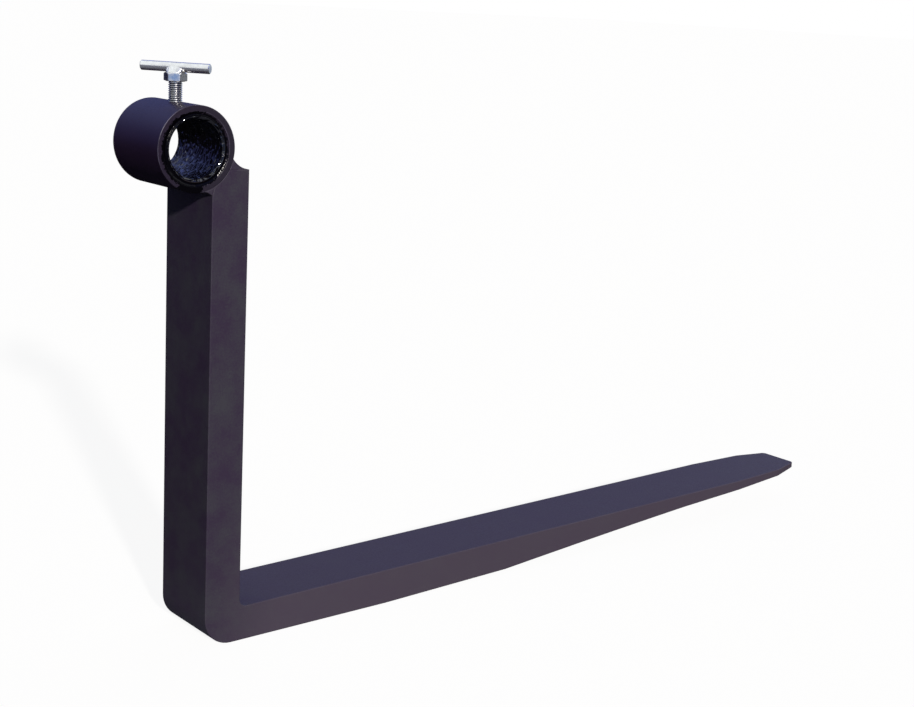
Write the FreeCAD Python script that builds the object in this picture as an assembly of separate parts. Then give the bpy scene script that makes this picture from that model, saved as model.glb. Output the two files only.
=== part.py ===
import FreeCAD, Part
import math
import os

from FreeCAD import Vector

# A shaft-hung lifting fork. A forged arm, L-shaped, is welded under a bushed
# tube that slides on a cross shaft, and a tee-handled screw through the
# tube's crown clamps the fork where it is wanted.
# The origin lies on the bore's axis at mid width. +X points along the blade,
# +Y to the left and +Z up. Lengths are in millimetres, angles in degrees.

# Forged arm: section and main lengths
fork_width = 101.6
shank_thickness = 47.3
shank_setback = 20.8          # bore axis to the shank's back face
underside_drop = 592.5        # bore axis down to the flat underside
shank_top_drop = 24.0         # bore axis down to the shank's top land
blade_reach = 1071.5          # shank's front face to the end of the tip
blade_root_thickness = 42.6   # at the shank's front face
blade_rise_angle = 0.70       # slope of the load face
heel_radius = 36.0
inner_corner_radius = 10.0
edge_round = 0.8              # worn edges of the bar

# Underside of the blade: a flat bearing run, a shallow facet, a drawn-out
# belly and a straight tip. Runs are from the shank's back face.
flat_run = 270.0
facet_run = 478.0
facet_lift = 4.9
belly_run = 840.0
belly_lift = 32.8
belly_bulge = 0.7             # how far the belly stands off its chord
tip_thickness = 8.2

# Tip in plan, as distances back from its end
taper_length = 155.0
chamfer_length = 54.0
shoulder_half_width = 45.2
nose_half_width = 30.5
shoulder_round = 14.0
nose_round = 7.0

# Tube and the sleeve that bushes it to the shaft
bore_radius = 33.3
bore_lead_in = 2.2            # bevel at the bore's mouths
sleeve_wall = 4.8
tube_wall = 10.1
groove_depth = 5.0            # weld groove between the two, at each end face
groove_tube_bevel = 3.4       # cut from the tube
groove_sleeve_bevel = 2.1     # and from the sleeve
bead_sink = 0.6               # groove bead below the end face
bead_root = 0.6               # groove bead above the groove's root

# Beads that join the tube to the arm
front_bead_height = 12.1      # above the shank's top land, on the tube
front_bead_set_in = 0.8       # toe behind the shank's front face
front_bead_sagitta = 2.5
rear_bead_leg = 8.5           # down from the tube to the toe on the shank's back face
rear_bead_reach = 10.0        # back along the tube's underside
rear_bevel = 3.0              # cut into the shank's back edge for the bead
rear_bead_sagitta = 0.8

# Clamp screw with its welded cross bar
screw_radius = 7.94
screw_length = 34.9           # under the head
screw_point_inset = 1.9       # point held back from the bore's wall
screw_forward = 1.2           # the tapped hole sits this far ahead of the crown
screw_point_chamfer = 1.6
head_across_flats = 23.0
head_height = 9.9
head_turn = -127.7            # bearing of one flat
washer_face_height = 0.5
washer_face_radius = 11.0
head_flat_radius = 10.9       # flat on top of the head
head_chamfer_angle = 30.0
bar_radius = 5.55
bar_length = 81.0
bar_bearing = -51.5
bar_end_chamfer = 0.8
bar_bead_radius = 10.4        # toe of the bead on the head
bar_bead_height = 6.0

# Clearances
weld_gap = 0.1                # between a bead and what it joins
sleeve_gap = 0.1              # sleeve in the tube
thread_gap = 0.15             # screw in its tapped hole

# Closeness at which two places in the model count as one
tolerance = 1e-3

# Places that follow from the sizes above
half_width = fork_width / 2
back_x = shank_setback
front_x = back_x + shank_thickness
tip_x = front_x + blade_reach
under_z = -underside_drop
land_z = -shank_top_drop
rise = math.tan(math.radians(blade_rise_angle))
root_z = under_z + blade_root_thickness
tip_top_z = root_z + rise * blade_reach
sleeve_radius = bore_radius + sleeve_wall
tube_inner_radius = sleeve_radius + sleeve_gap
tube_radius = tube_inner_radius + tube_wall
screw_point_z = bore_radius + screw_point_inset
head_under_z = screw_point_z + screw_length
head_seat_z = head_under_z + washer_face_height
head_top_z = head_under_z + head_height
bar_z = head_top_z + weld_gap + bar_radius


def section_point(x, z):
    """A point of the middle plane."""
    return Vector(x, 0, z)


def line(start, end):
    return Part.LineSegment(start, end).toShape()


def bowed(start, end, sagitta):
    """An arc that stands off its chord by the sagitta, to the left of the run in the XZ plane."""
    chord = end - start
    normal = Vector(-chord.z, 0, chord.x).normalize()
    middle = (start + end) * 0.5 + normal * sagitta
    return Part.Arc(start, middle, end).toShape()


def across_width(edges):
    """The solid swept across the fork's width by a closed outline of the middle plane."""
    outline = Part.Wire(edges)
    outline.translate(Vector(0, -half_width, 0))
    return Part.Face(outline).extrude(Vector(0, fork_width, 0))


def ring(profile_points):
    """A solid turned about the bore axis from a profile of (radius, y) points."""
    points = [Vector(radius, y, 0) for radius, y in profile_points]
    profile = Part.Face(Part.makePolygon(points + points[:1]))
    return profile.revolve(Vector(0, 0, 0), Vector(0, 1, 0), 360)


def arm_outline():
    """Side view of the arm, with the blade's inner corner rounded to the load face."""
    slope = math.radians(blade_rise_angle)
    half_opening = (math.pi / 2 - slope) / 2
    tangent = inner_corner_radius / math.tan(half_opening)
    diagonal = inner_corner_radius / math.sin(half_opening) - inner_corner_radius
    bisector = slope + half_opening
    corner = section_point(front_x, root_z)
    corner_start = section_point(front_x, root_z + tangent)
    corner_middle = corner + Vector(math.cos(bisector), 0, math.sin(bisector)) * diagonal
    corner_end = corner + Vector(math.cos(slope), 0, math.sin(slope)) * tangent

    heel_middle = heel_radius * (1 - math.sqrt(0.5))
    heel_back = section_point(back_x, under_z + heel_radius)
    heel_corner = section_point(back_x + heel_middle, under_z + heel_middle)
    heel_under = section_point(back_x + heel_radius, under_z)

    flat_end = section_point(back_x + flat_run, under_z)
    facet_end = section_point(back_x + facet_run, under_z + facet_lift)
    belly_end = section_point(back_x + belly_run, under_z + belly_lift)
    tip_under = section_point(tip_x, tip_top_z - tip_thickness)
    tip_top = section_point(tip_x, tip_top_z)
    land_front = section_point(front_x, land_z)
    land_back = section_point(back_x, land_z)
    return [
        line(land_back, heel_back),
        Part.Arc(heel_back, heel_corner, heel_under).toShape(),
        line(heel_under, flat_end),
        line(flat_end, facet_end),
        bowed(facet_end, belly_end, belly_bulge),
        line(belly_end, tip_under),
        line(tip_under, tip_top),
        line(tip_top, corner_end),
        Part.Arc(corner_end, corner_middle, corner_start).toShape(),
        line(corner_start, land_front),
        line(land_front, land_back),
    ]


def plan_prism():
    """Upright prism over the arm's plan: parallel sides, a slow taper and a chamfered nose."""
    floor_z = under_z - heel_radius
    shoulder_x = tip_x - chamfer_length
    right_side = [
        Vector(0, -half_width, floor_z),
        Vector(tip_x - taper_length, -half_width, floor_z),
        Vector(shoulder_x, -shoulder_half_width, floor_z),
        Vector(tip_x, -nose_half_width, floor_z),
    ]
    left_side = [Vector(point.x, -point.y, point.z) for point in reversed(right_side)]
    outline = Part.makePolygon(right_side + left_side + right_side[:1])
    prism = Part.Face(outline).extrude(Vector(0, 0, -floor_z))
    for corner_x, radius in ((shoulder_x, shoulder_round), (tip_x, nose_round)):
        prism = prism.makeFillet(radius, [edge for edge in prism.Edges if is_upright(edge, corner_x)])
    return prism


def is_upright(edge, x):
    """True for a vertical edge at a place along X."""
    box = edge.BoundBox
    return box.XLength < tolerance and box.YLength < tolerance and abs(box.XMin - x) < tolerance


def is_side_edge(edge):
    """True along the outline of a side face, between the shank's land and the taper."""
    box = edge.BoundBox
    on_side = box.YLength < tolerance and abs(abs(box.YMin) - half_width) < tolerance
    return on_side and box.XMax < tip_x - taper_length + tolerance and box.ZMin < land_z - tolerance


def on_tube(x):
    """Point of the underside of the weld's seat round the tube, at a place along X."""
    seat = tube_radius + weld_gap
    return section_point(x, -math.sqrt(seat ** 2 - x ** 2))


def rear_toe(x):
    """Foot of the rear bead, below where the tube meets the shank's back face."""
    return section_point(x, on_tube(back_x).z - rear_bead_leg)


def fork_arm():
    """Forged arm: blade, heel and shank in one, coped to the tube and bevelled for its bead."""
    arm = across_width(arm_outline()).common(plan_prism()).removeSplitter()
    arm = arm.makeFillet(edge_round, [edge for edge in arm.Edges if is_side_edge(edge)])
    beside = Vector(0, -fork_width, 0)
    cope = Part.makeCylinder(tube_radius + weld_gap, 2 * fork_width, beside, Vector(0, 1, 0))
    bevel_toe = rear_toe(back_x)
    bevel_top = on_tube(back_x + rear_bevel)
    bevel = across_width([
        line(bevel_toe, bevel_top),
        line(bevel_top, section_point(0, 0)),
        line(section_point(0, 0), section_point(0, bevel_toe.z)),
        line(section_point(0, bevel_toe.z), bevel_toe),
    ])
    return arm.cut([cope, bevel])


def on_screw_axis(z):
    return Vector(screw_forward, 0, z)


def tapped_hole():
    """Clearance form of the screw's thread, from the bore's axis up through the crown."""
    return Part.makeCylinder(screw_radius + thread_gap, tube_radius * 2, on_screw_axis(0))


def hanger_tube():
    """Outer tube, its inner edge bevelled at each end for the groove weld."""
    root = half_width - groove_depth
    body = ring([
        (tube_inner_radius, -root),
        (tube_inner_radius + groove_tube_bevel, -half_width),
        (tube_radius, -half_width),
        (tube_radius, half_width),
        (tube_inner_radius + groove_tube_bevel, half_width),
        (tube_inner_radius, root),
    ])
    return body.cut(tapped_hole())


def bore_sleeve():
    """Sleeve that brings the tube down to the shaft's size, bevelled inside at the mouths."""
    root = half_width - groove_depth
    lead_in = half_width - bore_lead_in
    body = ring([
        (bore_radius, -lead_in),
        (bore_radius + bore_lead_in, -half_width),
        (sleeve_radius - groove_sleeve_bevel, -half_width),
        (sleeve_radius, -root),
        (sleeve_radius, root),
        (sleeve_radius - groove_sleeve_bevel, half_width),
        (bore_radius + bore_lead_in, half_width),
        (bore_radius, lead_in),
    ])
    return body.cut(tapped_hole())


def groove_walls(depth):
    """Radii between which the groove bead lies, at a depth below the end face."""
    opened = 1 - depth / groove_depth
    sleeve_side = sleeve_radius - groove_sleeve_bevel * opened
    tube_side = tube_inner_radius + groove_tube_bevel * opened
    return sleeve_side + weld_gap, tube_side - weld_gap


def sleeve_weld(side):
    """Groove bead between the tube and the sleeve at one end, a little below the faces."""
    face_inner, face_outer = groove_walls(bead_sink)
    root_inner, root_outer = groove_walls(groove_depth - bead_root)
    face_y = side * (half_width - bead_sink)
    root_y = side * (half_width - groove_depth + bead_root)
    return ring([(face_inner, face_y), (face_outer, face_y), (root_outer, root_y), (root_inner, root_y)])


def tube_weld_front():
    """Bead over the shank's land, sweeping up to the front of the tube."""
    seat = tube_radius + weld_gap
    land = land_z + weld_gap
    toe_z = land_z + front_bead_height
    tube_toe = section_point(math.sqrt(seat ** 2 - toe_z ** 2), toe_z)
    root = section_point(math.sqrt(seat ** 2 - land ** 2), land)
    middle_z = (toe_z + land) / 2
    middle = section_point(math.sqrt(seat ** 2 - middle_z ** 2), middle_z)
    land_toe = section_point(front_x - front_bead_set_in, land)
    return across_width([
        Part.Arc(tube_toe, middle, root).toShape(),
        line(root, land_toe),
        bowed(land_toe, tube_toe, front_bead_sagitta),
    ])


def tube_weld_rear():
    """Bead under the tube, in the shank's bevelled back edge."""
    root = on_tube(back_x + rear_bevel - weld_gap)
    reach = on_tube(back_x - rear_bead_reach)
    middle = on_tube((root.x + reach.x) / 2)
    toe = rear_toe(back_x - weld_gap)
    return across_width([
        Part.Arc(root, middle, reach).toShape(),
        bowed(reach, toe, rear_bead_sagitta),
        line(toe, root),
    ])


def screw_head():
    """Hexagon with its top corners chamfered off by a cone."""
    corner_radius = head_across_flats / math.sqrt(3)
    seat = on_screw_axis(head_seat_z)
    corners = []
    for index in range(7):
        angle = math.radians(head_turn + 30 + 60 * index)
        corners.append(seat + Vector(math.cos(angle), math.sin(angle), 0) * corner_radius)
    hexagon = Part.Face(Part.makePolygon(corners)).extrude(Vector(0, 0, head_top_z - head_seat_z))
    cone_drop = (corner_radius - head_flat_radius) * math.tan(math.radians(head_chamfer_angle))
    shoulder_z = head_top_z - cone_drop
    below = Part.makeCylinder(corner_radius, shoulder_z - head_seat_z, seat)
    crown = Part.makeCone(corner_radius, head_flat_radius, cone_drop, on_screw_axis(shoulder_z))
    return hexagon.common(below.fuse(crown))


def clamp_screw():
    """Screw, threaded up to its head and backed off until its point lies inside the wall."""
    washer = Part.makeCylinder(washer_face_radius, washer_face_height, on_screw_axis(head_under_z))
    thread_z = screw_point_z + screw_point_chamfer
    thread = Part.makeCylinder(screw_radius, head_under_z - thread_z, on_screw_axis(thread_z))
    point_radius = screw_radius - screw_point_chamfer
    point = Part.makeCone(point_radius, screw_radius, screw_point_chamfer, on_screw_axis(screw_point_z))
    return screw_head().fuse([washer, thread, point]).removeSplitter()


def bar_rod(radius):
    """A rod as long as the cross bar, lying where the bar lies."""
    bearing = math.radians(bar_bearing)
    along = Vector(math.cos(bearing), math.sin(bearing), 0)
    start = on_screw_axis(bar_z) - along * (bar_length / 2)
    return Part.makeCylinder(radius, bar_length, start, along)


def tee_bar():
    """Round bar laid across the head."""
    bar = bar_rod(bar_radius)
    rims = [edge for edge in bar.Edges if isinstance(edge.Curve, Part.Circle)]
    return bar.makeChamfer(bar_end_chamfer, rims)


def tee_welds():
    """Beads behind and in front of the bar, spread over the top of the head."""
    base_z = head_top_z + weld_gap
    dome_radius = (bar_bead_radius ** 2 + bar_bead_height ** 2) / (2 * bar_bead_height)
    dome = Part.makeSphere(dome_radius, on_screw_axis(base_z + bar_bead_height - dome_radius))
    slab = Part.makeCylinder(dome_radius, bar_bead_height, on_screw_axis(base_z))
    beads = dome.common(slab).cut(bar_rod(bar_radius + 2 * weld_gap)).Solids
    return sorted(beads, key=lambda bead: bead.CenterOfMass.x)


def main():
    os.makedirs("parts", exist_ok=True)
    tee_weld_rear, tee_weld_front = tee_welds()
    nodes = {
        "fork_arm": fork_arm(),
        "hanger_tube": hanger_tube(),
        "bore_sleeve": bore_sleeve(),
        "sleeve_weld_left": sleeve_weld(1),
        "sleeve_weld_right": sleeve_weld(-1),
        "tube_weld_front": tube_weld_front(),
        "tube_weld_rear": tube_weld_rear(),
        "clamp_screw": clamp_screw(),
        "tee_bar": tee_bar(),
        "tee_weld_front": tee_weld_front,
        "tee_weld_rear": tee_weld_rear,
    }
    for name, shape in nodes.items():
        solid, = shape.Solids
        centre = solid.CenterOfMass
        print("%-18s valid %s, %.1f cm3, centre %.1f %.1f %.1f" % (
            name, solid.isValid(), solid.Volume / 1000, centre.x, centre.y, centre.z))
        solid.exportStep(os.path.join("parts", name + ".step"))


main()
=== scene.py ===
import math

import bpy
import numpy as np
from mathutils import Matrix, Vector


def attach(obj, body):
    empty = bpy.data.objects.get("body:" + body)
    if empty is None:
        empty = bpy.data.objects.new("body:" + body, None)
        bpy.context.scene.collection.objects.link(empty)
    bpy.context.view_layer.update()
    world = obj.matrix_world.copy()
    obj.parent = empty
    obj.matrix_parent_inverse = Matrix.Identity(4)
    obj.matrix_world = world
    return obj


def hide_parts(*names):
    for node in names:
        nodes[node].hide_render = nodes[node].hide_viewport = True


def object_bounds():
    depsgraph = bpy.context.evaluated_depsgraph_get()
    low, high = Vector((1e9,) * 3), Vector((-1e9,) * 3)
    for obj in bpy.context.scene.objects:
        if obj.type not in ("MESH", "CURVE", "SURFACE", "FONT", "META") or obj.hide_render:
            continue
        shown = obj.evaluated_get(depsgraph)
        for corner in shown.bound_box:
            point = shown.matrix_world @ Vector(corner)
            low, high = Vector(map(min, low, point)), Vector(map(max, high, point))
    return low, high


# A shaft-hung lifting fork, painted black, with a zinc-plated clamp screw.
# In the dictionaries lengths are millimetres, angles degrees, colours sRGB and
# directions plain vectors. The frame is the CAD's: origin on the bore's axis,
# +X along the blade, +Y along the shaft, +Z up.

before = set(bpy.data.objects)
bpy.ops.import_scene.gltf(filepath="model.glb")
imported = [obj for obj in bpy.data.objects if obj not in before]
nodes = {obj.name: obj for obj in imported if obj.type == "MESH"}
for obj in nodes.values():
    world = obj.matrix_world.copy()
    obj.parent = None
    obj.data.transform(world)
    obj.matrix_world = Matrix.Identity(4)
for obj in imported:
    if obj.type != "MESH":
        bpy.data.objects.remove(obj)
cadLow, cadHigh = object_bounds()
mm = 0.001  # one millimetre in Blender's metres
poleRadius = 0.001  # millimetres, of the ring that closes a top or a point
print("frame loaded:", len(nodes), "nodes")


# Takes the sRGB curve off a hex colour: a channel c becomes c / 12.92 where it
# is dark, and ((c + 0.055) / 1.055) to the power 2.4 elsewhere.
def linear(hexColour):
    channels = [int(hexColour[i:i + 2], 16) / 255 for i in (1, 3, 5)]
    return [c / 12.92 if c <= 0.04045 else ((c + 0.055) / 1.055) ** 2.4 for c in channels] + [1.0]


# Adds a node, sets its properties, and gives each input that is named or
# numbered a socket, a hex colour or a plain value. Hands back one output.
# A Mix node of colours has its factor at 0, its colours at 6 and 7, and its
# result at 2.
def addNode(tree, kind, links, output=0, **settings):
    node = tree.nodes.new("ShaderNode" + kind)
    for name, value in settings.items():
        setattr(node, name, value)
    for name, value in links.items():
        if isinstance(value, bpy.types.NodeSocket):
            tree.links.new(value, node.inputs[name])
        else:
            node.inputs[name].default_value = linear(value) if isinstance(value, str) else value
    return node.outputs[output]


# The two ends of a "From" or "To" range as the names of their inputs.
def span(side, ends, unit=1.0):
    return {side + " Min": ends[0] * unit, side + " Max": ends[1] * unit}


# A material with one Principled shader, whose plain numbers are on its own
# sockets. Its patterns read Object coordinates, which are metres in the frame.
def newMaterial(name, settings):
    material = bpy.data.materials.new(name)
    material.use_nodes = True
    tree = material.node_tree
    shader = tree.nodes["Principled BSDF"]
    for socket, value in settings.items():
        shader.inputs[socket].default_value = value
    return material, tree, shader, addNode(tree, "TexCoord", {}, "Object")


# Links what varies over the surface to the shader's sockets.
def linkShader(tree, shader, links):
    for socket, value in links.items():
        tree.links.new(value, shader.inputs[socket])


# Gives a piece one material all over.
def dress(piece, material):
    piece.data.materials.clear()
    piece.data.materials.append(material)


# A smooth skin over a grid of points, rows by columns by 3. Each quad joins a
# point to the next in its row and to both of those in the row after. Columns
# close round on themselves, and so do rows where wrapRows is set.
def gridPiece(name, points, body, material, wrapRows=False):
    rows, columns = points.shape[:2]
    index = np.arange(rows * columns).reshape(rows, columns)
    if wrapRows:
        index = np.vstack([index, index[:1]])
    index = np.hstack([index, index[:, :1]])
    quads = np.stack([index[:-1, :-1], index[:-1, 1:], index[1:, 1:], index[1:, :-1]], axis=-1)
    mesh = bpy.data.meshes.new(name)
    mesh.from_pydata((points.reshape(-1, 3) * mm).tolist(), [], quads.reshape(-1, 4).tolist())
    mesh.polygons.foreach_set("use_smooth", [True] * len(mesh.polygons))
    mesh.update()
    piece = bpy.data.objects.new(name, mesh)
    bpy.context.scene.collection.objects.link(piece)
    dress(piece, material)
    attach(piece, body)
    return piece


# A straight ramp from 0 at start to 1 at end, level beyond both.
def fade(value, start, end):
    return np.clip((value - start) / (end - start), 0, 1)


# Clamp screw: a coarse right-handed thread along its whole length, and a
# hexagon head with a washer face, a chamfered brow and softly broken edges.
screw = {
    "axisX": 1.2,
    "turn": -127.7,  # bearing of the middle of one flat
    "pointZ": 35.2,
    "pointChamfer": 1.6,
    "crestRadius": 7.9,
    "rootRadius": 6.65,
    "neckRadius": 7.4,  # where the thread runs out under the head
    "pitch": 2.309,
    "flankFade": (0.05, 0.45),  # shares of a pitch from mid root to a flank's two ends
    "threadRows": 460,
    "underHeadZ": 70.1,
    "washerRadius": 11.0,
    "washerEdge": (0.25, 0.2),  # how far its lower edge is broken, inwards and upwards
    "washerFlare": 0.05,
    "seatZ": 70.6,
    "acrossFlats": 23.0,
    "cornerRound": 0.15,
    # Angles from the middle of a flat. They crowd at its corners, so that the
    # flat between them stays flat under smooth shading.
    "facetAngles": (-30, -29.3, -28.2, -26, -20, -12, -4, 4, 12, 20, 26, 28.2, 29.3),
    "edgeBreak": 0.35,
    "besideEdge": 0.1,  # distance of the ring that keeps a face flat beside its edge
    "chamferAngle": 30.0,
    "flatRadius": 10.9,
    "flatEdge": (0.3, 0.4),  # rings outside and inside the edge of the top's flat
    "topZ": 80.0,
}


# Points about the screw's upright axis: x is axisX + radius * cos(angle), and y
# is radius * sin(angle).
def aroundScrew(radius, angle, z):
    radius, angle, z = np.broadcast_arrays(radius, angle, z)
    return np.stack([screw["axisX"] + radius * np.cos(angle), radius * np.sin(angle), z], axis=-1)


# One grid of angle by height. A thread's phase is height / pitch less the share
# of a turn: the root is at half a phase and the crest at a whole one, both with
# a short flat, and a smoothstep of the flank between them rounds its shoulders.
# A head's ring has the radius half across flats / cos(angle from mid flat).
def makeScrew(material):
    s = screw
    facet = np.array(s["facetAngles"])
    angle = np.radians(s["turn"] + (facet + 60 * np.arange(6)[:, None]).reshape(1, -1))
    z = np.linspace(s["pointZ"], s["underHeadZ"], s["threadRows"])[:, None]
    phase = ((z - s["pointZ"]) / s["pitch"] - angle / (2 * math.pi)) % 1.0
    flank = fade(np.abs(phase - 0.5), *s["flankFade"])
    rounded = flank * flank * (3 - 2 * flank)
    radius = s["rootRadius"] + (s["crestRadius"] - s["rootRadius"]) * rounded
    radius = np.minimum(radius, s["crestRadius"] - s["pointChamfer"] + z - s["pointZ"])
    threaded = fade(z, s["underHeadZ"], s["underHeadZ"] - s["pitch"])
    radius = radius * threaded + s["neckRadius"] * (1 - threaded)
    rows = [aroundScrew(poleRadius, angle, s["pointZ"]), aroundScrew(radius, angle, z)]

    # The head, outwards over the washer face, up the hexagon, in over its brow.
    halfAcross = s["acrossFlats"] / 2
    corner = halfAcross / math.cos(math.radians(30)) - s["cornerRound"]
    hexagon = np.minimum(halfAcross / np.cos(np.radians(np.tile(facet, 6)))[None, :], corner)
    slope = math.tan(math.radians(s["chamferAngle"]))
    brow = s["topZ"] - (hexagon - s["flatRadius"]).clip(0) * slope
    edge, beside = s["edgeBreak"], s["besideEdge"]
    for ring, height in (
            (s["washerRadius"] - s["washerEdge"][0], s["underHeadZ"]),
            (s["washerRadius"], s["underHeadZ"] + s["washerEdge"][1]),
            (s["washerRadius"] + s["washerFlare"], s["seatZ"]),
            (hexagon - edge - beside, s["seatZ"]),
            (hexagon - edge, s["seatZ"]),
            (hexagon, s["seatZ"] + edge),
            (hexagon, s["seatZ"] + edge + beside),
            (hexagon, brow - edge - beside),
            (hexagon, brow - edge),
            (hexagon - edge, brow),
            (s["flatRadius"] + s["flatEdge"][0], s["topZ"] - s["flatEdge"][0] * slope),
            (s["flatRadius"] - s["flatEdge"][1], s["topZ"]),
            (poleRadius, s["topZ"])):
        rows.append(aroundScrew(ring, angle, height))
    piece = gridPiece("clamp_screw_threaded", np.concatenate(rows), "clamp",
                      material)
    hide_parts("clamp_screw")


# Weld that holds the bar on the head: a rippled fillet each side that fans
# out along the bar. It is one closed mound that the bar lies through.
teeWeld = {
    "barBearing": -51.5,
    "height": 7.3,
    "toeAlong": 9.9,
    "topAlong": 11.8,
    "fan": 0.7,  # power of the rise that widens it along the bar
    "toeAcross": 10.0,
    "topAcross": 5.1,
    "hollow": 1.05,  # power of its sides' fall: 1 is straight, more is hollow
    "squareness": 2.6,  # power of its plan's superellipse: 2 is an ellipse
    "ripplePitch": 1.9,
    "rippleDepth": 0.25,
    "rippleLean": 0.6,
    "rippleWander": 0.8,
    "skirt": 0.05,  # share of the height that goes on below the head's top
    "footDrop": 0.3,
    "rows": 26,
    "columns": 160,
}


# Rings of a superellipse, along * cos(angle) ^ p by across * sin(angle) ^ p
# with p = 2 / squareness, stacked up the height. The sides move in and out by
# rippleDepth * sin(lengthwise / ripplePitch), most at half height.
def makeTeeWeld(material):
    w = teeWeld
    angle = np.linspace(0, 2 * math.pi, w["columns"], endpoint=False)[None, :]
    climb = np.concatenate([[-w["skirt"]], np.linspace(0, 1, w["rows"])])[:, None]
    rise = climb.clip(0)
    along = w["toeAlong"] + (w["topAlong"] - w["toeAlong"]) * rise ** w["fan"]
    across = w["topAcross"] + (w["toeAcross"] - w["topAcross"]) * (1 - rise) ** w["hollow"]
    power = 2 / w["squareness"]
    lengthwise = along * np.sign(np.cos(angle)) * np.abs(np.cos(angle)) ** power
    sideways = across * np.sign(np.sin(angle)) * np.abs(np.sin(angle)) ** power
    run = (lengthwise + w["rippleLean"] * rise * np.abs(lengthwise)) / w["ripplePitch"]
    ripple = np.sin(2 * math.pi * run + w["rippleWander"] * np.sin(lengthwise))
    sideways += np.sign(sideways) * w["rippleDepth"] * ripple * np.sin(math.pi * rise)
    bearing = math.radians(w["barBearing"])
    mound = np.stack([
        screw["axisX"] + lengthwise * math.cos(bearing) - sideways * math.sin(bearing),
        lengthwise * math.sin(bearing) + sideways * math.cos(bearing),
        np.broadcast_to(screw["topZ"] + w["height"] * climb, lengthwise.shape)], axis=-1)
    foot = aroundScrew(poleRadius, angle, screw["topZ"] - w["footDrop"])
    top = aroundScrew(poleRadius, angle, screw["topZ"] + w["height"])
    piece = gridPiece("tee_weld_rippled", np.concatenate([foot, mound, top]), "clamp",
                      material)
    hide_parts("tee_weld_front", "tee_weld_rear")


# Beads in the end grooves, drowned in thick paint. Each rolls round the
# bore's mouth, swells over the sleeve's edge and laps up the tube's bevel
# along a wandering line. A fade is the two places where something is nothing
# and full, waves are how many of each go round, and a skew is the radians that
# they turn for each millimetre inwards or down.
endBead = {
    # Corners of its section: radius, and depth below the tube's end.
    "profile": (
        (33.25, 4.4), (33.3, 3.2), (33.35, 2.3), (33.9, 1.66), (34.8, 1.05), (35.7, 0.42),
        (36.3, 0.12), (36.9, 0.55), (37.5, 1.2), (38.4, 1.5), (39.4, 1.3), (40.3, 0.75),
        (41.2, 0.4), (41.95, 0.75), (41.3, 1.6), (38.8, 4.1), (37.4, 4.1), (34.6, 4.4)),
    "pointsPerCorner": 2,
    "columns": 900,
    "outerWander": 0.55,
    "outerWaves": (2, 5, 9, 17, 26, 43),
    "outerFade": (38.0, 41.5),  # radii
    "innerWander": 0.275,
    "innerWaves": (3, 7, 12, 19, 31, 46),
    "innerFade": (36.0, 34.0),  # radii
    "innerLimits": (-1, 0.3),  # the waves are cut off beyond these
    "swellDepth": 0.30,
    "swellWaves": (4, 11, 19, 33, 52),
    "swellSkew": 0.02,
    "shownFade": (2.4, 0.8),  # depths
    "quietRadius": 35.75,  # where the section stays as it is drawn
    "quietFade": (0.4, 1.4),  # distances from there
    "lipDepth": 0.35,
    "lipWaves": (23, 37, 58, 79, 97),
    "lipSkew": 0.03,
    "lipFade": (36.0, 35.0),  # radii
    "rippleDepth": 0.05,
    "ripples": 83,
    "rippleSkew": 1.3,
    "rippleFade": (36.5, 38.0),  # radii
    "shallowest": 0.02,  # no paint stands out past the tube's end
}


# A smooth closed wander: the sum over the waves of sin(waves * angle + a random
# start) times a random strength, divided so that it stays near -1 to 1.
def wavering(angle, seed, waves):
    chance = np.random.default_rng(seed)
    total = np.zeros_like(angle)
    for count in waves:
        total += np.sin(count * angle + chance.uniform(0, 2 * math.pi)) * chance.uniform(0.5, 1.0)
    return total / (1.2 * math.sqrt(len(waves)))


# A closed Catmull-Rom curve through the corners: a cubic from each corner to
# the next, whose slope at a corner is half the step between its neighbours.
def smoothLoop(corners, steps):
    p = np.array(corners)
    before, after, beyond = np.roll(p, 1, 0), np.roll(p, -1, 0), np.roll(p, -2, 0)
    t = np.arange(steps)[None, :, None] / steps
    curve = 0.5 * (2 * p[:, None] + (after - before)[:, None] * t
                   + (2 * before - 5 * p + 4 * after - beyond)[:, None] * t ** 2
                   + (3 * p - before - 3 * after + beyond)[:, None] * t ** 3)
    return curve.reshape(-1, 2)


# The section's loop carried round the bore. Its radius has the outer and inner
# wander added, and its depth the swells, the ripples and the lip's breaks, each
# times its fade.
def makeEndBead(name, side, seed, replaced, material):
    b = endBead
    face = cadHigh.y / mm
    angle = np.linspace(0, 2 * math.pi, b["columns"], endpoint=False)[None, :]
    loop = smoothLoop(b["profile"], b["pointsPerCorner"])
    radius, depth = loop[:, :1], loop[:, 1:]
    outer = fade(radius, *b["outerFade"]) * wavering(angle, seed, b["outerWaves"])
    inner = wavering(angle, seed + 1, b["innerWaves"]).clip(*b["innerLimits"])
    inner = fade(radius, *b["innerFade"]) * inner
    swell = (1 - wavering(angle + b["swellSkew"] * radius, seed + 2, b["swellWaves"])) / 2
    broken = wavering(angle + b["lipSkew"] * depth, seed + 3, b["lipWaves"]).clip(-1, 1)
    lip = fade(radius, *b["lipFade"]) * (1 + broken) / 2
    ripple = np.sin(b["ripples"] * angle + b["rippleSkew"] * radius)
    ripple = 1 + ripple * fade(radius, *b["rippleFade"])
    shown = fade(depth, *b["shownFade"])
    shown = shown * fade(np.abs(radius - b["quietRadius"]), *b["quietFade"])
    radii = radius + b["outerWander"] * outer + b["innerWander"] * inner
    depths = depth + shown * (b["swellDepth"] * swell + b["rippleDepth"] * ripple
                              + b["lipDepth"] * lip)
    points = np.stack([radii * np.cos(angle), side * (face - np.maximum(depths, b["shallowest"])),
                       radii * np.sin(angle)], axis=-1)
    if side > 0:
        points = points[::-1]  # so that the faces point outwards at this end too
    piece = gridPiece(name, points, "fork", material, wrapRows=True)
    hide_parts(replaced)


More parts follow.
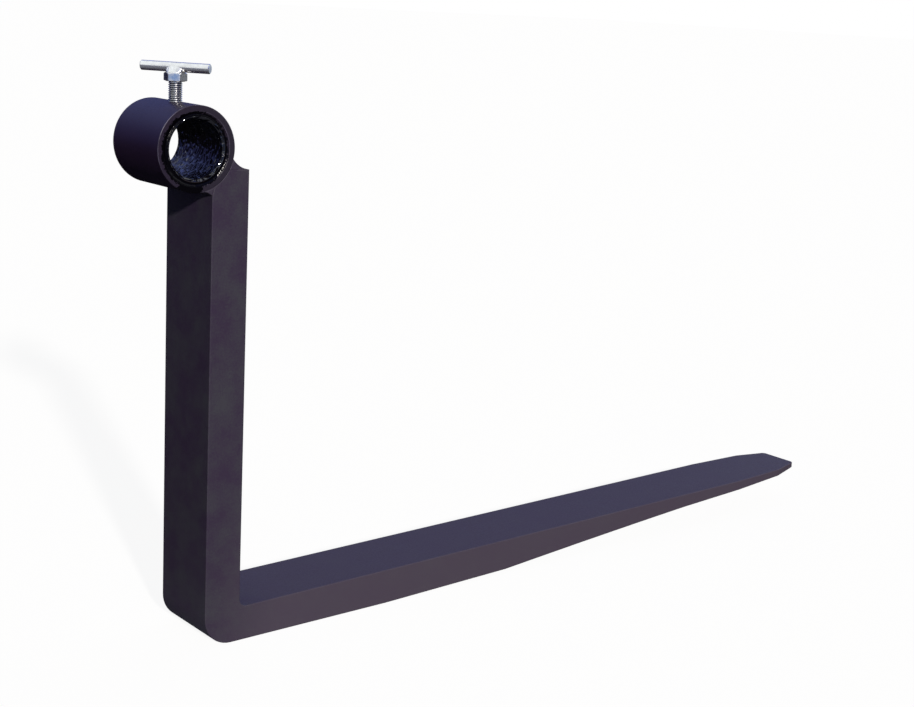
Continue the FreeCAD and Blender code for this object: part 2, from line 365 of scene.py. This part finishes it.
# Black semi-gloss enamel sprayed on forged steel. It gives a purple-black body
# colour under a soft sheen, dusty in patches and paler along the blade, orange peel
# over the forging's slow waves, and a painted highlight line on the corners.
enamel = {
    "colour": "#392E44",
    "specular": 0.32,
    "roughness": (0.42, 0.56),
    "grainFade": (0.35, 0.65),
    "grainSize": 2.2,
    "mottleSize": 34.0,
    "dustyColour": "#41404A",
    "mottleShare": 0.6,
    "grainShare": 0.4,
    "dustFade": (0.40, 0.64),
    "paleBladeColour": "#554D5C",
    "paleBladeFade": (-10.0, 130.0),  # x at the blade's underside
    "paleBladeRise": 0.3,  # how far both move forward for each step up
    "paleBladeShare": 0.75,
    # A paler colour painted on the corners as their highlight.
    "edgeHighlightColour": "#6A6274",
    "edgeHighlightRadius": 1.6,
    "edgeHighlightFade": (0.985, 0.80),  # cosines between the face and the rounded corner
    "edgeHighlightPatches": (0.40, 0.62),
    "cornerRadius": 1.5,
    "waveSize": 28.0,
    "waveDepth": 0.12,
    "peelSize": 1.3,
    "peelDepth": 0.03,
}

# The tube's enamel went on thicker and glossier. Its darker colour partly paints in the
# shade on its curve, and its end faces keep a paler one.
tubeEnamel = {
    **enamel,
    "colour": "#20112A",
    "specular": 0.5,
    "roughness": (0.34, 0.46),
    "dustyColour": "#26172F",
    "paleBladeColour": "#26172F",
    # A paler colour painted on its corners as their highlight.
    "edgeHighlightColour": "#7E7A96",
    "endColour": "#28222F",
    "endBand": (0.5, 0.2),  # depths below the end where the scuffing starts and is full
    "endFade": (-100.0, 20.0),  # x
}

# Round the bore's mouth it is drowned in wet black, and more of that has run
# down under the tube, on both sides. Their edges wander in and out.
wetRun = {
    "ring": {"centre": (-1.9, 0.0, -0.9), "radius": 42.0, "wander": 2.1, "softness": 0.25},
    "run": {"centre": (-9.0, 50.8, -47.0), "radius": 16.5, "wander": 3.15, "softness": 0.6},
    "wanderSize": 4.2,
    "wanderFade": (0.3, 0.7),
    "colour": "#050408",
    "roughness": 0.16,
    "specular": 0.08,
}


# 1 where the wet black covers, and 0 elsewhere: the larger of two round patches,
# each 1 where the distance from its centre, plus a noise of its wander, is less
# than its radius. The ring leaves y out, and the run is the same at both ends.
def wetMask(tree, coordinates, place):
    noise = addNode(tree, "TexNoise", {
        "Vector": coordinates, "Scale": 1 / (wetRun["wanderSize"] * mm),
        "Detail": 5.0, "Roughness": 0.65})
    endwise = addNode(tree, "Math", {0: place["Y"]}, operation="ABSOLUTE")
    masks = []
    for patch, y in ((wetRun["ring"], 0.0), (wetRun["run"], endwise)):
        spot = addNode(tree, "CombineXYZ", {"X": place["X"], "Y": y, "Z": place["Z"]})
        distance = addNode(tree, "VectorMath", {0: spot, 1: np.multiply(patch["centre"], mm)},
                           "Value", operation="DISTANCE")
        wander = addNode(tree, "MapRange", {
            "Value": noise, **span("From", wetRun["wanderFade"]),
            **span("To", (-patch["wander"], patch["wander"]), mm)})
        ragged = addNode(tree, "Math", {0: distance, 1: wander}, operation="ADD")
        edge = (patch["radius"] + patch["softness"], patch["radius"] - patch["softness"])
        masks.append(addNode(tree, "MapRange", {"Value": ragged, **span("From", edge, mm)}))
    return addNode(tree, "Math", {0: masks[0], 1: masks[1]}, operation="MAXIMUM")


# From 0 on open faces to 1 on corners, where a paler colour is painted on as
# their highlight: how far the cosine between the face's normal and the rounded
# corner's falls below 1.
def paintedEdgeHighlight(tree, e):
    rounded = addNode(tree, "Bevel", {"Radius": e["edgeHighlightRadius"] * mm}, samples=6)
    face = addNode(tree, "NewGeometry", {}, "Normal")
    cosine = addNode(tree, "VectorMath", {0: rounded, 1: face}, "Value",
                     operation="DOT_PRODUCT")
    return addNode(tree, "MapRange", {"Value": cosine, **span("From", e["edgeHighlightFade"])},
                   interpolation_type="SMOOTHSTEP")


# Each finish is blended over the colour so far by a mask of its own, 0 to 1.
def makeEnamel(name, e):
    material, tree, shader, coordinates = newMaterial(name, {"Specular IOR Level": e["specular"]})
    place = addNode(tree, "SeparateXYZ", {"Vector": coordinates}).node.outputs
    mottle = addNode(tree, "TexNoise", {
        "Vector": coordinates, "Scale": 1 / (e["mottleSize"] * mm), "Detail": 4.0,
        "Roughness": 0.6})
    grain = addNode(tree, "TexNoise", {
        "Vector": coordinates, "Scale": 1 / (e["grainSize"] * mm), "Detail": 3.0,
        "Roughness": 0.7})

    # Dusty where mottle and grain, added by their shares, are high.
    dust = addNode(tree, "Math", {0: mottle, 1: e["mottleShare"]}, operation="MULTIPLY")
    dust = addNode(tree, "Math", {0: grain, 1: e["grainShare"], 2: dust},
                   operation="MULTIPLY_ADD")
    dust = addNode(tree, "MapRange", {"Value": dust, **span("From", e["dustFade"])})
    colour = addNode(tree, "Mix", {0: dust, 6: e["colour"], 7: e["dustyColour"]}, 2,
                     data_type="RGBA")

    # Paler along the blade, from a line that leans forward as it rises.
    climb = addNode(tree, "Math", {0: place["Z"], 1: cadLow.z}, operation="SUBTRACT")
    climb = addNode(tree, "Math", {0: climb, 1: e["paleBladeRise"]}, operation="MULTIPLY")
    paleMask = addNode(tree, "Math", {0: place["X"], 1: climb}, operation="SUBTRACT")
    paleMask = addNode(tree, "MapRange", {
        "Value": paleMask, **span("From", e["paleBladeFade"], mm), "To Max": e["paleBladeShare"]},
        interpolation_type="SMOOTHSTEP")
    colour = addNode(tree, "Mix", {0: paleMask, 6: colour, 7: e["paleBladeColour"]}, 2,
                     data_type="RGBA")

    if "endColour" in e:
        # Paler on the end faces than the tube's darkened body, more towards the front.
        endwise = addNode(tree, "Math", {0: place["Y"]}, operation="ABSOLUTE")
        ends = addNode(tree, "MapRange", {
            "Value": endwise, "From Min": cadHigh.y - e["endBand"][0] * mm,
            "From Max": cadHigh.y - e["endBand"][1] * mm})
        forward = addNode(tree, "MapRange", {
            "Value": place["X"], **span("From", e["endFade"], mm)})
        ends = addNode(tree, "Math", {0: ends, 1: forward}, operation="MULTIPLY")
        colour = addNode(tree, "Mix", {0: ends, 6: colour, 7: e["endColour"]}, 2,
                         data_type="RGBA")

    # A highlight painted on the corners, in patches of the mottle.
    patches = addNode(tree, "MapRange", {"Value": mottle, **span("From", e["edgeHighlightPatches"])})
    edgeHighlight = addNode(tree, "Math", {0: paintedEdgeHighlight(tree, e), 1: patches}, operation="MULTIPLY")
    colour = addNode(tree, "Mix", {0: edgeHighlight, 6: colour, 7: e["edgeHighlightColour"]}, 2,
                     data_type="RGBA")

    # Drowned in wet black near the bore: smoother, with a dimmer reflection.
    drowned = wetMask(tree, coordinates, place)
    colour = addNode(tree, "Mix", {0: drowned, 6: colour, 7: wetRun["colour"]}, 2,
                     data_type="RGBA")
    roughness = addNode(tree, "MapRange", {
        "Value": grain, **span("From", e["grainFade"]), **span("To", e["roughness"])})
    roughness = addNode(tree, "MapRange", {
        "Value": drowned, "To Min": roughness, "To Max": wetRun["roughness"]})
    specular = addNode(tree, "MapRange", {
        "Value": drowned, "To Min": e["specular"], "To Max": wetRun["specular"]})

    # Slow waves of the forging over rounded corners, and orange peel over both.
    corners = addNode(tree, "Bevel", {"Radius": e["cornerRadius"] * mm}, samples=6)
    waves = addNode(tree, "TexNoise", {
        "Vector": coordinates, "Scale": 1 / (e["waveSize"] * mm), "Detail": 1.0})
    waves = addNode(tree, "Bump", {
        "Height": waves, "Distance": e["waveDepth"] * mm, "Normal": corners})
    peel = addNode(tree, "TexNoise", {
        "Vector": coordinates, "Scale": 1 / (e["peelSize"] * mm), "Detail": 2.0})
    peel = addNode(tree, "Bump", {
        "Height": peel, "Distance": e["peelDepth"] * mm, "Normal": waves})
    linkShader(tree, shader, {
        "Base Color": colour, "Roughness": roughness, "Specular IOR Level": specular,
        "Normal": peel})
    return material


# The same enamel brushed on thick in the bore: wet black gloss in short flat
# strokes that run round it, parted by grooves. A real brush's marks are finer,
# and these are drawn as coarse as they need to be to show.
boreEnamel = {
    "colour": "#050408",
    "thinColour": "#0D0A12",
    "specular": 1.0,
    "roughness": (0.05, 0.12),
    "blobSize": 1.8,
    "blobDepth": 0.06,
    "blobFade": (0.35, 0.65),
    "strokeWidth": 5.4,
    "strokeLength": 9.0,
    "grooveShare": 0.42,  # share of a stroke, from its edge in to its flat
    "grooveDepth": 1.3,
    "flatFade": (0.7, 1.0),
    "flatRoughness": 0.24,
}

# On the beads it is smooth and duller, with a grey highlight painted on the lip low down.
beadEnamel = {
    "colour": "#030205",
    "thinColour": "#060409",
    "specular": 0.12,
    "roughness": (0.12, 0.2),
    "blobSize": 1.8,
    "blobDepth": 0.06,
    "blobFade": (0.35, 0.65),
    # A grey highlight painted on the lip low down.
    "lipHighlightColour": "#3A353C",
    "lipHighlightRadius": (37.0, 36.3),
    "lipHighlightCentre": (-2.0, 0.0, -35.5),
    "lipHighlightReach": (20.0, 12.0),
    "lipFade": (0.3, 0.55),
    "lipHighlightShare": (0.5, 1.0),
}


# Thick paint on the bore, with strokes, and on the beads, with a painted highlight on the lip.
# Strokes are cells, and their height is the distance from a cell's edge.
def makeBoreEnamel(name, b):
    material, tree, shader, coordinates = newMaterial(name, {"Specular IOR Level": b["specular"]})
    place = addNode(tree, "SeparateXYZ", {"Vector": coordinates}).node.outputs
    blobs = addNode(tree, "TexNoise", {
        "Vector": coordinates, "Scale": 1 / (b["blobSize"] * mm), "Detail": 2.0})
    normal = addNode(tree, "Bump", {"Height": blobs, "Distance": b["blobDepth"] * mm})
    colour = addNode(tree, "Mix", {0: blobs, 6: b["colour"], 7: b["thinColour"]}, 2,
                     data_type="RGBA")
    # Beyond the ragged edge of the wet black it has the tube end's own colour.
    colour = addNode(tree, "Mix", {
        0: wetMask(tree, coordinates, place), 6: tubeEnamel["endColour"], 7: colour}, 2,
        data_type="RGBA")
    roughness = addNode(tree, "MapRange", {
        "Value": blobs, **span("From", b["blobFade"]), **span("To", b["roughness"])})

    if "strokeWidth" in b:
        # Cells as long as a stroke round the bore and as wide along it.
        lengths = (b["strokeLength"], b["strokeWidth"], b["strokeLength"])
        cells = addNode(tree, "Mapping", {
            "Vector": coordinates, "Scale": [1 / (length * mm) for length in lengths]})
        strokes = addNode(tree, "TexVoronoi", {"Vector": cells, "Scale": 1.0}, "Distance",
                          feature="DISTANCE_TO_EDGE")
        strokes = addNode(tree, "MapRange", {"Value": strokes, "From Max": b["grooveShare"]},
                          interpolation_type="SMOOTHSTEP")
        normal = addNode(tree, "Bump", {
            "Height": strokes, "Distance": b["grooveDepth"] * mm, "Normal": normal})
        flats = addNode(tree, "MapRange", {"Value": strokes, **span("From", b["flatFade"])})
        roughness = addNode(tree, "MapRange", {
            "Value": flats, "To Min": roughness, "To Max": b["flatRoughness"]})

    if "lipHighlightColour" in b:
        # A highlight painted on the lip, where it is within reach of the low point, in patches.
        flat = addNode(tree, "CombineXYZ", {"X": place["X"], "Z": place["Z"]})
        paleMask = addNode(tree, "MapRange", {
            "Value": blobs, **span("From", b["lipFade"]), **span("To", b["lipHighlightShare"])})
        for centre, ends in (((0.0, 0.0, 0.0), b["lipHighlightRadius"]), (b["lipHighlightCentre"], b["lipHighlightReach"])):
            distance = addNode(tree, "VectorMath", {0: flat, 1: np.multiply(centre, mm)},
                               "Value", operation="DISTANCE")
            within = addNode(tree, "MapRange", {"Value": distance, **span("From", ends, mm)})
            paleMask = addNode(tree, "Math", {0: paleMask, 1: within}, operation="MULTIPLY")
        colour = addNode(tree, "Mix", {0: paleMask, 6: colour, 7: b["lipHighlightColour"]}, 2,
                         data_type="RGBA")

    linkShader(tree, shader, {"Base Color": colour, "Roughness": roughness, "Normal": normal})
    return material


# Bright zinc plate: a clean mirror-grey skin, slightly cloudy, with a fine
# grain, and shade painted into the thread's roots. Its bluish cast is the sky's.
# The real grain is finer, and is drawn as coarse as it needs to be to show.
zinc = {
    "colour": "#F7F6F1",
    "cloudColour": "#E6E5E0",
    "cloudSize": 6.0,
    "cloudFade": (0.35, 0.65),
    "roughness": (0.20, 0.36),
    "threadRoughness": 0.31,
    "grainSize": 0.5,
    "grainDepth": 0.012,
    # Shade painted into the thread's roots.
    "rootShadeColour": "#6A6C74",
    "rootShadeRadius": (7.5, 6.9),
    "rootShadeTop": (0.0, 0.4),  # below the head
}


# Plate on the screw, the bar and their welds. It is rougher in the thread.
def makeZinc(name):
    material, tree, shader, coordinates = newMaterial(name, {"Metallic": 1.0})
    place = addNode(tree, "SeparateXYZ", {"Vector": coordinates}).node.outputs
    clouds = addNode(tree, "TexNoise", {
        "Vector": coordinates, "Scale": 1 / (zinc["cloudSize"] * mm), "Detail": 4.0,
        "Roughness": 0.6})
    cloudy = addNode(tree, "MapRange", {"Value": clouds, **span("From", zinc["cloudFade"])})
    colour = addNode(tree, "Mix", {0: cloudy, 6: zinc["colour"], 7: zinc["cloudColour"]}, 2,
                     data_type="RGBA")

    # Painted shade where the distance from the screw's axis is small, below its head.
    level = addNode(tree, "CombineXYZ", {"X": place["X"], "Y": place["Y"]})
    radius = addNode(tree, "VectorMath", {0: level, 1: (screw["axisX"] * mm, 0.0, 0.0)},
                     "Value", operation="DISTANCE")
    rootShade = addNode(tree, "MapRange", {"Value": radius, **span("From", zinc["rootShadeRadius"], mm)})
    heights = [screw["underHeadZ"] - below for below in zinc["rootShadeTop"]]
    thread = addNode(tree, "MapRange", {"Value": place["Z"], **span("From", heights, mm)})
    rootShade = addNode(tree, "Math", {0: rootShade, 1: thread}, operation="MULTIPLY")
    colour = addNode(tree, "Mix", {0: rootShade, 6: colour, 7: zinc["rootShadeColour"]}, 2,
                     data_type="RGBA")

    roughness = addNode(tree, "MapRange", {
        "Value": clouds, **span("From", zinc["cloudFade"]), **span("To", zinc["roughness"])})
    roughness = addNode(tree, "MapRange", {
        "Value": thread, "To Min": roughness, "To Max": zinc["threadRoughness"]})
    grain = addNode(tree, "TexNoise", {
        "Vector": coordinates, "Scale": 1 / (zinc["grainSize"] * mm), "Detail": 2.0})
    normal = addNode(tree, "Bump", {"Height": grain, "Distance": zinc["grainDepth"] * mm})
    linkShader(tree, shader, {"Base Color": colour, "Roughness": roughness, "Normal": normal})
    return material


armPaint = makeEnamel("black_enamel_on_forging", enamel)
tubePaint = makeEnamel("glossier_enamel_on_tube", tubeEnamel)
borePaint = makeBoreEnamel("thick_gloss_enamel_brushed_in_bore", boreEnamel)
beadPaint = makeBoreEnamel("thick_gloss_enamel_on_beads", beadEnamel)
zincPlate = makeZinc("bright_zinc_plate")
for name, material in (
        ("fork_arm", armPaint), ("tube_weld_front", armPaint), ("tube_weld_rear", armPaint),
        ("hanger_tube", tubePaint), ("bore_sleeve", borePaint),
        ("sleeve_weld_left", beadPaint), ("sleeve_weld_right", beadPaint),
        ("clamp_screw", zincPlate), ("tee_bar", zincPlate),
        ("tee_weld_front", zincPlate), ("tee_weld_rear", zincPlate)):
    dress(nodes[name], material)
print("materials made")

makeScrew(zincPlate)
makeTeeWeld(zincPlate)
makeEndBead("end_bead_left", 1, 20, "sleeve_weld_left", beadPaint)
makeEndBead("end_bead_right", -1, 40, "sleeve_weld_right", beadPaint)
print("screw and beads made")

# Camera at the photograph's place, in metres. It leans a little to the left.
view = {
    "position": (-0.8790, -1.5484, 0.1775),
    "aim": (0.31755, -0.13443, -0.24555),
    "lean": 3.086,
    "lens": 61.41,
    "sensorWidth": 36.0,
}


# Its place is a shift to the position, times a turn towards the aim, times a
# lean about its own line of sight.
def makeCamera():
    data = bpy.data.cameras.new("camera")
    data.lens = view["lens"]
    data.sensor_width = view["sensorWidth"]
    data.sensor_fit = "HORIZONTAL"
    camera = bpy.data.objects.new("camera", data)
    bpy.context.scene.collection.objects.link(camera)
    position = Vector(view["position"])
    turn = (Vector(view["aim"]) - position).to_track_quat("-Z", "Y").to_matrix().to_4x4()
    lean = Matrix.Rotation(math.radians(view["lean"]), 4, "Z")
    camera.matrix_world = Matrix.Translation(position) @ turn @ lean
    bpy.context.scene.camera = camera


# Studio: one low key light from the near side, a wide pale blue one overhead,
# and a weak fill from behind for the sides that the photograph doesn't see. What
# a gloss or metal mirrors is dimmer than the white backdrop: a blue sky, a dark
# floor, white soft boxes and pale panels. A fade of directions is in cosines.
studio = {
    "lamps": {
        "key_light": {"from": (-0.293, -0.879, 0.377), "strength": 2.9, "angle": 3.0,
                      "colour": "#FFF9F2"},
        "sky_light": {"from": (0.0, -0.1, 1.0), "strength": 0.12, "angle": 70.0,
                      "colour": "#C9DCFF"},
    },
    "fillColour": "#121215",
    "farFillFrom": (0.66, 0.75, 0.10),
    "farFillFade": (0.3, 0.9),
    "farFillColour": "#9A9CA4",
    "backdropColour": "#FFFFFF",
    "mirroredHorizonColour": "#43477C",
    "mirroredSkyColour": "#7F92DF",
    "skyFade": (0.1, 0.6),
    "mirroredZenithColour": "#85858F",
    "zenithFade": (0.68, 0.80),
    "softboxColour": "#F4F9FF",
    # Each soft box is where all of its directions are within their fades.
    "softboxes": (
        (((-0.352, -0.302, 0.886), (0.46, 0.56)), ((0.623, -0.783, 0.0), (0.20, 0.05))),
        (((0.799, -0.35, 0.489), (0.88, 0.96)),)),
    # Each panel is a level bearing, its fade and its colour.
    "panels": (
        ((-0.574, -0.819, 0.0), (0.90, 0.97), "#6A8CC6"),
        ((0.891, 0.454, 0.0), (0.965, 0.99), "#C4D2EA"),
        ((0.996, -0.089, 0.0), (0.95, 0.99), "#7C8086")),
    "panelTop": (0.34, 0.18),
    "panelReach": (1500.0, 2300.0),  # distances at which they start on the floor
    "floorColour": "#6F6F6F",
    "floorGlow": 0.92,
    "floorReach": 60000.0,
    "floorDrop": 0.05,
    "mirroredFloorColour": "#131214",
    # It is paler there on the near side, and round a spot before the shank's foot.
    "mirroredNearColour": "#70727E",
    "nearFrom": (-0.70, -0.714, 0.0),
    "nearFade": (320.0, 520.0),
    "footPlace": (-300.0, -600.0),
    "footFade": (1000.0, 500.0),
}


# A sun from a direction: the wider its angle, the softer its shadows.
def makeSun(name, lamp):
    data = bpy.data.lights.new(name, "SUN")
    data.energy = lamp["strength"]
    data.angle = math.radians(lamp["angle"])
    data.color = linear(lamp["colour"])[:3]
    sun = bpy.data.objects.new(name, data)
    bpy.context.scene.collection.objects.link(sun)
    sun.matrix_world = Vector(lamp["from"]).to_track_quat("Z", "Y").to_matrix().to_4x4()


# Colour by kind of ray: the white backdrop to the camera and through glass, the
# mirrored colour in a gloss or metal, and the plain one as light on the object.
def backdropTint(tree, plain, mirrored):
    path = addNode(tree, "LightPath", {}).node.outputs
    direct = addNode(tree, "Math", {
        0: path["Is Camera Ray"], 1: path["Is Transmission Ray"]}, operation="MAXIMUM")
    tint = addNode(tree, "Mix", {0: path["Is Glossy Ray"], 6: plain, 7: mirrored}, 2,
                   data_type="RGBA")
    return addNode(tree, "Mix", {0: direct, 6: tint, 7: studio["backdropColour"]}, 2,
                   data_type="RGBA")


# Pale panels that stand on end round the object: one shows where the cosine
# between the level part of the direction and its bearing is high.
def addPanels(tree, direction, share, colour):
    level = addNode(tree, "VectorMath", {0: direction, 1: (1.0, 1.0, 0.0)}, operation="MULTIPLY")
    level = addNode(tree, "VectorMath", {0: level}, operation="NORMALIZE")
    for bearing, edges, panelColour in studio["panels"]:
        panel = addNode(tree, "VectorMath", {0: level, 1: bearing}, "Value",
                        operation="DOT_PRODUCT")
        panel = addNode(tree, "MapRange", {"Value": panel, **span("From", edges)},
                        interpolation_type="SMOOTHSTEP")
        panel = addNode(tree, "Math", {0: panel, 1: share}, operation="MULTIPLY")
        colour = addNode(tree, "Mix", {0: panel, 6: colour, 7: panelColour}, 2,
                         data_type="RGBA")
    return colour


# What a gloss or metal shows of the backdrop, by height: from the horizon's
# dark blue to the sky's, a grey zenith, the panels low down, and over all the
# soft boxes.
def mirroredSky(tree, direction):
    height = addNode(tree, "SeparateXYZ", {"Vector": direction}, "Z")
    rise = addNode(tree, "MapRange", {"Value": height, **span("From", studio["skyFade"])},
                   interpolation_type="SMOOTHSTEP")
    sky = addNode(tree, "Mix", {
        0: rise, 6: studio["mirroredHorizonColour"], 7: studio["mirroredSkyColour"]}, 2,
        data_type="RGBA")
    zenith = addNode(tree, "MapRange", {"Value": height, **span("From", studio["zenithFade"])})
    sky = addNode(tree, "Mix", {0: zenith, 6: sky, 7: studio["mirroredZenithColour"]}, 2,
                  data_type="RGBA")
    low = addNode(tree, "MapRange", {"Value": height, **span("From", studio["panelTop"])},
                  interpolation_type="SMOOTHSTEP")
    sky = addPanels(tree, direction, low, sky)
    for box in studio["softboxes"]:
        white = 1.0
        for axis, edges in box:
            within = addNode(tree, "VectorMath", {0: direction, 1: axis}, "Value",
                             operation="DOT_PRODUCT")
            within = addNode(tree, "MapRange", {"Value": within, **span("From", edges)},
                             interpolation_type="SMOOTHSTEP")
            white = addNode(tree, "Math", {0: white, 1: within}, operation="MULTIPLY")
        sky = addNode(tree, "Mix", {0: white, 6: sky, 7: studio["softboxColour"]}, 2,
                      data_type="RGBA")
    return sky


# The backdrop all round. It isn't sampled as a lamp, because that would mix the
# colours that it has for different kinds of ray.
def makeWorld():
    world = bpy.data.worlds.new("studio")
    bpy.context.scene.world = world
    world.use_nodes = True
    world.cycles.sampling_method = "NONE"
    tree = world.node_tree
    direction = addNode(tree, "TexCoord", {}, "Generated")
    behind = addNode(tree, "VectorMath", {
        0: direction, 1: Vector(studio["farFillFrom"]).normalized()}, "Value",
        operation="DOT_PRODUCT")
    behind = addNode(tree, "MapRange", {"Value": behind, **span("From", studio["farFillFade"])})
    fill = addNode(tree, "Mix", {
        0: behind, 6: studio["fillColour"], 7: studio["farFillColour"]}, 2, data_type="RGBA")
    tint = backdropTint(tree, fill, mirroredSky(tree, direction))
    tree.links.new(tint, tree.nodes["Background"].inputs["Color"])


# The floor, which glows almost white to the camera and keeps the object's
# shadow. In a gloss or metal it is dark, but for its near part and the panels.
def makeFloor():
    reach, level = studio["floorReach"], cadLow.z / mm - studio["floorDrop"]
    corners = np.array([(-reach, -reach, level), (reach, -reach, level),
                        (reach, reach, level), (-reach, reach, level)])
    mesh = bpy.data.meshes.new("floor")
    mesh.from_pydata((corners * mm).tolist(), [], [[0, 1, 2, 3]])
    floor = bpy.data.objects.new("floor", mesh)
    bpy.context.scene.collection.objects.link(floor)
    material, tree, shader, coordinates = newMaterial("pale_floor", {
        "Roughness": 1.0, "Specular IOR Level": 0.0, "Emission Strength": studio["floorGlow"]})
    material.cycles.emission_sampling = "NONE"  # as the world's

    near = addNode(tree, "VectorMath", {0: coordinates, 1: studio["nearFrom"]}, "Value",
                   operation="DOT_PRODUCT")
    near = addNode(tree, "MapRange", {"Value": near, **span("From", studio["nearFade"], mm)},
                   interpolation_type="SMOOTHSTEP")
    footX, footY = studio["footPlace"]
    foot = addNode(tree, "VectorMath", {
        0: coordinates, 1: (footX * mm, footY * mm, cadLow.z)}, "Value", operation="DISTANCE")
    foot = addNode(tree, "MapRange", {"Value": foot, **span("From", studio["footFade"], mm)},
                   interpolation_type="SMOOTHSTEP")
    near = addNode(tree, "Math", {0: near, 1: foot}, operation="MAXIMUM")
    mirrored = addNode(tree, "Mix", {
        0: near, 6: studio["mirroredFloorColour"], 7: studio["mirroredNearColour"]}, 2,
        data_type="RGBA")

    far = addNode(tree, "VectorMath", {0: coordinates, 1: (0.0, 0.0, 0.0)}, "Value",
                  operation="DISTANCE")
    far = addNode(tree, "MapRange", {"Value": far, **span("From", studio["panelReach"], mm)})
    glow = backdropTint(tree, "#000000", addPanels(tree, coordinates, far, mirrored))
    gloss = addNode(tree, "LightPath", {}, "Is Glossy Ray")
    colour = addNode(tree, "Mix", {0: gloss, 6: studio["floorColour"], 7: "#000000"}, 2,
                     data_type="RGBA")
    linkShader(tree, shader, {"Base Color": colour, "Emission Color": glow})
    dress(floor, material)


makeCamera()
for name, lamp in studio["lamps"].items():
    makeSun(name, lamp)
makeWorld()
makeFloor()
bpy.context.scene.view_settings.view_transform = "Standard"
print("camera and studio made")
